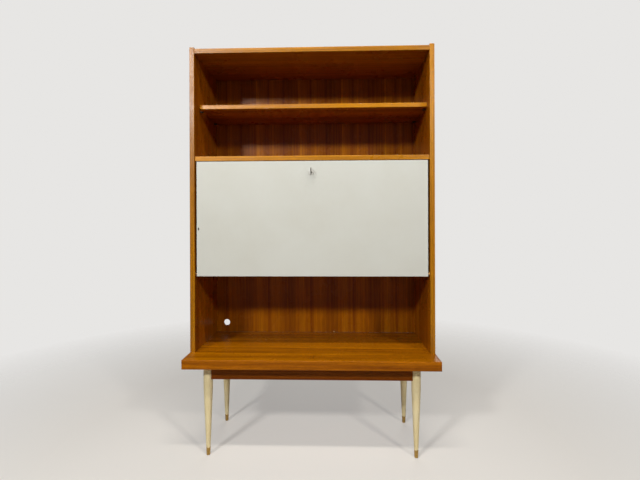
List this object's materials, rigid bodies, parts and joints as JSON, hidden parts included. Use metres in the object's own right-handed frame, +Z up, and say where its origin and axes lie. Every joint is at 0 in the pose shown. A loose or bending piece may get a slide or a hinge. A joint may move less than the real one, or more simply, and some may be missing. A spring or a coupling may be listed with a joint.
{
  "type": "secretary desk",
  "caption": "Wall-unit secretary desk: open shelves over a lockable drop flap that opens to a writing surface, on a bench slab with tapered legs and brass ferrules.",
  "frame": {"origin": "on the floor, under the middle of the bench slab", "axes": "+Z up, the front faces -Y, +X to the right seen from the front"},
  "size_m": [1.044, 0.452, 1.721],
  "materials": {
    "veneer_side": "satin lacquered veneer, vertical grain",
    "veneer_board": "satin lacquered veneer, grain along the length",
    "veneer_back": "satin lacquered veneer, vertical grain",
    "lipping": "lacquered solid edge lipping",
    "leg_paint": "satin cream paint over turned wood",
    "raw_wood": "plain softwood",
    "laminate": "smooth pale laminate",
    "brass": "polished",
    "steel": "zinc-plated",
    "dark_pin": "dark moulded",
    "felt": "felt",
    "glide": "nylon",
    "key_metal": "worn nickel plate"
  },
  "bodies": {
    "carcass": {"side_panel_left": "veneer_side", "side_panel_right": "veneer_side", "top_board": "veneer_board", "fixed_shelf": "veneer_board", "writing_floor": "veneer_board", "adjustable_shelf": "veneer_board", "inner_shelf": "veneer_board", "inner_divider_left": "veneer_board", "inner_divider_right": "veneer_board", "bench_slab": "veneer_board", "front_rail": "veneer_board", "back_rail": "veneer_board", "side_rail_left": "veneer_board", "side_rail_right": "veneer_board", "back_panel": "veneer_back", "side_lipping_left": "lipping", "side_lipping_right": "lipping", "top_board_lipping": "lipping", "fixed_shelf_lipping": "lipping", "adjustable_shelf_lipping": "lipping", "slab_lipping_front": "lipping", "slab_lipping_left": "lipping", "slab_lipping_right": "lipping", "leg_front_left": "leg_paint", "leg_front_right": "leg_paint", "leg_back_left": "leg_paint", "leg_back_right": "leg_paint", "corner_blocks": "raw_wood", "carcass_dowels": "raw_wood", "flap_stop_blocks": "raw_wood", "ferrule_front_left": "brass", "ferrule_front_right": "brass", "ferrule_back_left": "brass", "ferrule_back_right": "brass", "pivot_bushes": "brass", "strike_plate": "brass", "stay_studs": "brass", "back_screws": "steel", "cabinet_screws": "steel", "hanger_bolts": "steel", "hanger_nuts": "steel", "slab_screws": "steel", "strike_screws": "steel", "shelf_pins": "dark_pin", "flap_stop_pads": "felt", "floor_glides": "glide"},
    "flap": {"flap_panel": "veneer_board", "flap_front_laminate": "laminate", "pivot_pins": "brass", "stay_brackets": "brass", "bracket_screws": "steel", "stay_rivets": "brass", "lock_case": "brass", "lock_face_plate": "brass", "lock_screws": "steel", "escutcheon": "brass"},
    "stay_left": {"stay_arm_left": "brass"},
    "stay_right": {"stay_arm_right": "brass"},
    "key": {"key": "key_metal"},
    "bolt": {"lock_bolt": "brass"}
  },
  "joints": [
    {"name": "flap_hinge", "type": "hinge", "parent": "carcass", "child": "flap", "pos_m": [0, -0.1085, 0.7505], "axis": [1, 0, 0], "range_deg": [0, 90]},
    {"name": "stay_left_pivot", "type": "hinge", "parent": "flap", "child": "stay_left", "pos_m": [-0.485, -0.087, 0.9191], "axis": [1, 0, 0], "range_deg": [-45, 0]},
    {"name": "stay_right_pivot", "type": "hinge", "parent": "flap", "child": "stay_right", "pos_m": [0.485, -0.087, 0.9191], "axis": [1, 0, 0], "range_deg": [-45, 0]},
    {"name": "key_turn", "type": "hinge", "parent": "flap", "child": "key", "pos_m": [0, -0.118, 1.186], "axis": [0, 1, 0], "range_deg": [0, 90]},
    {"name": "bolt_slide", "type": "slide", "parent": "flap", "child": "bolt", "axis": [0, 0, 1], "range_m": [0, 0.008]}
  ],
  "couplings": [
    {"joint": "stay_left_pivot", "follows": "flap_hinge", "ratio": -0.5},
    {"joint": "stay_right_pivot", "follows": "flap_hinge", "ratio": -0.5},
    {"joint": "bolt_slide", "follows": "key_turn", "m_per_rad": 0.00509}
  ]
}
